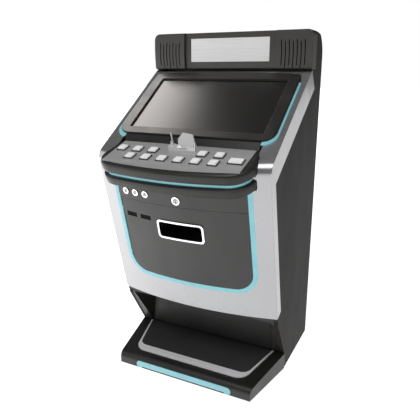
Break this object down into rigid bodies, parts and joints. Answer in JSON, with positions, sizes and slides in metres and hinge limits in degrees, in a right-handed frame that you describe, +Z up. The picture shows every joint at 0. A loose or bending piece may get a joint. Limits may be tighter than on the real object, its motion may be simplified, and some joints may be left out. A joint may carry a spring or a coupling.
{
  "type": "video poker machine",
  "caption": "Sit-down slant-top electronic card game cabinet: reclined display, button deck with coin entry, hinged cash door, footrest.",
  "frame": {"origin": "centre of the overall box's base, on the floor", "axes": "+Z up, the player stands at -Y, +X is the player's right"},
  "size_m": [0.62, 0.6338, 1.21],
  "materials": {
    "cabinet_board": "satin powder coat",
    "cabinet_steel": "satin powder coat",
    "bare_steel": "zinc plated",
    "black_steel": "satin",
    "footrest_rubber": "fine texture",
    "satin_steel": "brushed",
    "light_diffuser": "frosted, lit",
    "foot_rubber": "matte",
    "silver_paint": "metallic satin",
    "bezel_black": "satin",
    "display_glass": "polished",
    "lcd_case": "matte",
    "head_plastic": "satin",
    "speaker_cone": "matte",
    "brushed_plate": "brushed",
    "deck_black": "satin",
    "deck_steel": "brushed",
    "rim_black": "gloss",
    "button_white": "translucent",
    "chrome": "polished",
    "door_black": "satin powder coat",
    "hinge_steel": "black oxide",
    "cup_black": "matte",
    "counter_black": "gloss",
    "lock_steel": "turned",
    "hopper_plastic": "matte",
    "inlet_black": "matte"
  },
  "bodies": {
    "cabinet": {"side_panel_left": "cabinet_board", "side_panel_right": "cabinet_board", "roof_panel": "cabinet_steel", "back_frame": "cabinet_steel", "floor_plate": "bare_steel", "footrest_box": "black_steel", "footrest_pad": "footrest_rubber", "footrest_trim": "satin_steel", "footrest_light": "light_diffuser", "levelling_feet": "foot_rubber", "kick_panel": "black_steel", "front_fascia": "silver_paint", "screen_bezel": "bezel_black", "screen_glass": "display_glass", "lcd_panel": "lcd_case", "screen_light": "light_diffuser", "head_housing": "head_plastic", "speaker_cover_left": "head_plastic", "speaker_cover_right": "head_plastic", "speaker_drivers": "speaker_cone", "sign_plate": "brushed_plate", "deck_top_shell": "deck_black", "deck_bottom_shell": "deck_black", "deck_light": "light_diffuser", "deck_plate": "deck_steel", "button_rims": "rim_black", "coin_head": "chrome", "lock_panel": "door_black", "door_light": "light_diffuser", "door_hinge": "hinge_steel", "switch_collars": "chrome", "rear_hinge": "hinge_steel", "coin_hopper": "hopper_plastic", "power_supply": "bare_steel", "logic_box": "bare_steel", "equipment_shelf": "bare_steel", "mains_inlet": "inlet_black"},
    "button_rear_1": {"button_rear_1": "button_white"},
    "button_rear_2": {"button_rear_2": "button_white"},
    "button_rear_3": {"button_rear_3": "button_white"},
    "button_rear_4": {"button_rear_4": "button_white"},
    "button_rear_5": {"button_rear_5": "button_white"},
    "button_front_1": {"button_front_1": "button_white"},
    "button_front_2": {"button_front_2": "button_white"},
    "button_front_3": {"button_front_3": "button_white"},
    "button_front_4": {"button_front_4": "button_white"},
    "button_front_5": {"button_front_5": "button_white"},
    "button_front_6": {"button_front_6": "button_white"},
    "button_wide": {"button_wide": "button_white"},
    "reject_lever": {"coin_reject_lever": "chrome"},
    "cash_door": {"cash_door": "door_black", "payout_frame": "chrome", "payout_cup": "cup_black", "counter_windows": "counter_black"},
    "key_switch_1": {"key_switch_1": "lock_steel"},
    "key_switch_2": {"key_switch_2": "lock_steel"},
    "key_switch_3": {"key_switch_3": "lock_steel"},
    "door_lock": {"door_lock": "lock_steel"},
    "rear_door": {"rear_door": "cabinet_steel"},
    "rear_lock": {"rear_lock": "lock_steel"}
  },
  "joints": [
    {"name": "button_rear_1_press", "type": "slide", "parent": "cabinet", "child": "button_rear_1", "axis": [0, 0.3123, -0.95], "range_m": [0, 0.003], "stiffness_N_per_m": 400, "springref_m": -0.002},
    {"name": "button_rear_2_press", "type": "slide", "parent": "cabinet", "child": "button_rear_2", "axis": [0, 0.3123, -0.95], "range_m": [0, 0.003], "stiffness_N_per_m": 400, "springref_m": -0.002},
    {"name": "button_rear_3_press", "type": "slide", "parent": "cabinet", "child": "button_rear_3", "axis": [0, 0.3123, -0.95], "range_m": [0, 0.003], "stiffness_N_per_m": 400, "springref_m": -0.002},
    {"name": "button_rear_4_press", "type": "slide", "parent": "cabinet", "child": "button_rear_4", "axis": [0, 0.3123, -0.95], "range_m": [0, 0.003], "stiffness_N_per_m": 400, "springref_m": -0.002},
    {"name": "button_rear_5_press", "type": "slide", "parent": "cabinet", "child": "button_rear_5", "axis": [0, 0.3123, -0.95], "range_m": [0, 0.003], "stiffness_N_per_m": 400, "springref_m": -0.002},
    {"name": "button_front_1_press", "type": "slide", "parent": "cabinet", "child": "button_front_1", "axis": [0, 0.3123, -0.95], "range_m": [0, 0.003], "stiffness_N_per_m": 400, "springref_m": -0.002},
    {"name": "button_front_2_press", "type": "slide", "parent": "cabinet", "child": "button_front_2", "axis": [0, 0.3123, -0.95], "range_m": [0, 0.003], "stiffness_N_per_m": 400, "springref_m": -0.002},
    {"name": "button_front_3_press", "type": "slide", "parent": "cabinet", "child": "button_front_3", "axis": [0, 0.3123, -0.95], "range_m": [0, 0.003], "stiffness_N_per_m": 400, "springref_m": -0.002},
    {"name": "button_front_4_press", "type": "slide", "parent": "cabinet", "child": "button_front_4", "axis": [0, 0.3123, -0.95], "range_m": [0, 0.003], "stiffness_N_per_m": 400, "springref_m": -0.002},
    {"name": "button_front_5_press", "type": "slide", "parent": "cabinet", "child": "button_front_5", "axis": [0, 0.3123, -0.95], "range_m": [0, 0.003], "stiffness_N_per_m": 400, "springref_m": -0.002},
    {"name": "button_front_6_press", "type": "slide", "parent": "cabinet", "child": "button_front_6", "axis": [0, 0.3123, -0.95], "range_m": [0, 0.003], "stiffness_N_per_m": 400, "springref_m": -0.002},
    {"name": "button_wide_press", "type": "slide", "parent": "cabinet", "child": "button_wide", "axis": [0, 0.3123, -0.95], "range_m": [0, 0.003], "stiffness_N_per_m": 400, "springref_m": -0.002},
    {"name": "reject_lever_turn", "type": "hinge", "parent": "cabinet", "child": "reject_lever", "pos_m": [-0.036, -0.18028, 0.8556], "axis": [1, 0, 0], "range_deg": [-20, 0], "stiffness_Nm_per_rad": 0.08, "springref_deg": 8.59},
    {"name": "cash_door_hinge", "type": "hinge", "parent": "cabinet", "child": "cash_door", "pos_m": [-0.23327, -0.15279, 0.46257], "axis": [0, 0.2284, -0.9736], "range_deg": [0, 95]},
    {"name": "key_switch_1_turn", "type": "hinge", "parent": "cabinet", "child": "key_switch_1", "pos_m": [-0.201, -0.21455, 0.68787], "axis": [-0.1675, -0.9598, -0.2251], "range_deg": [-90, 0]},
    {"name": "key_switch_2_turn", "type": "hinge", "parent": "cabinet", "child": "key_switch_2", "pos_m": [-0.16, -0.22063, 0.68645], "axis": [-0.1333, -0.9649, -0.2263], "range_deg": [-90, 0]},
    {"name": "key_switch_3_turn", "type": "hinge", "parent": "cabinet", "child": "key_switch_3", "pos_m": [-0.119, -0.2253, 0.68535], "axis": [-0.0992, -0.9688, -0.2272], "range_deg": [-90, 0]},
    {"name": "door_lock_turn", "type": "hinge", "parent": "cabinet", "child": "door_lock", "pos_m": [0, -0.22965, 0.678], "axis": [0, -0.9736, -0.2284], "range_deg": [-90, 0]},
    {"name": "rear_door_hinge", "type": "hinge", "parent": "cabinet", "child": "rear_door", "pos_m": [-0.26, 0.31422, 0.18], "axis": [0, 0, 1], "range_deg": [0, 110]},
    {"name": "rear_lock_turn", "type": "hinge", "parent": "rear_door", "child": "rear_lock", "pos_m": [0.234, 0.31692, 0.56], "axis": [0, -1, 0], "range_deg": [0, 90]}
  ]
}
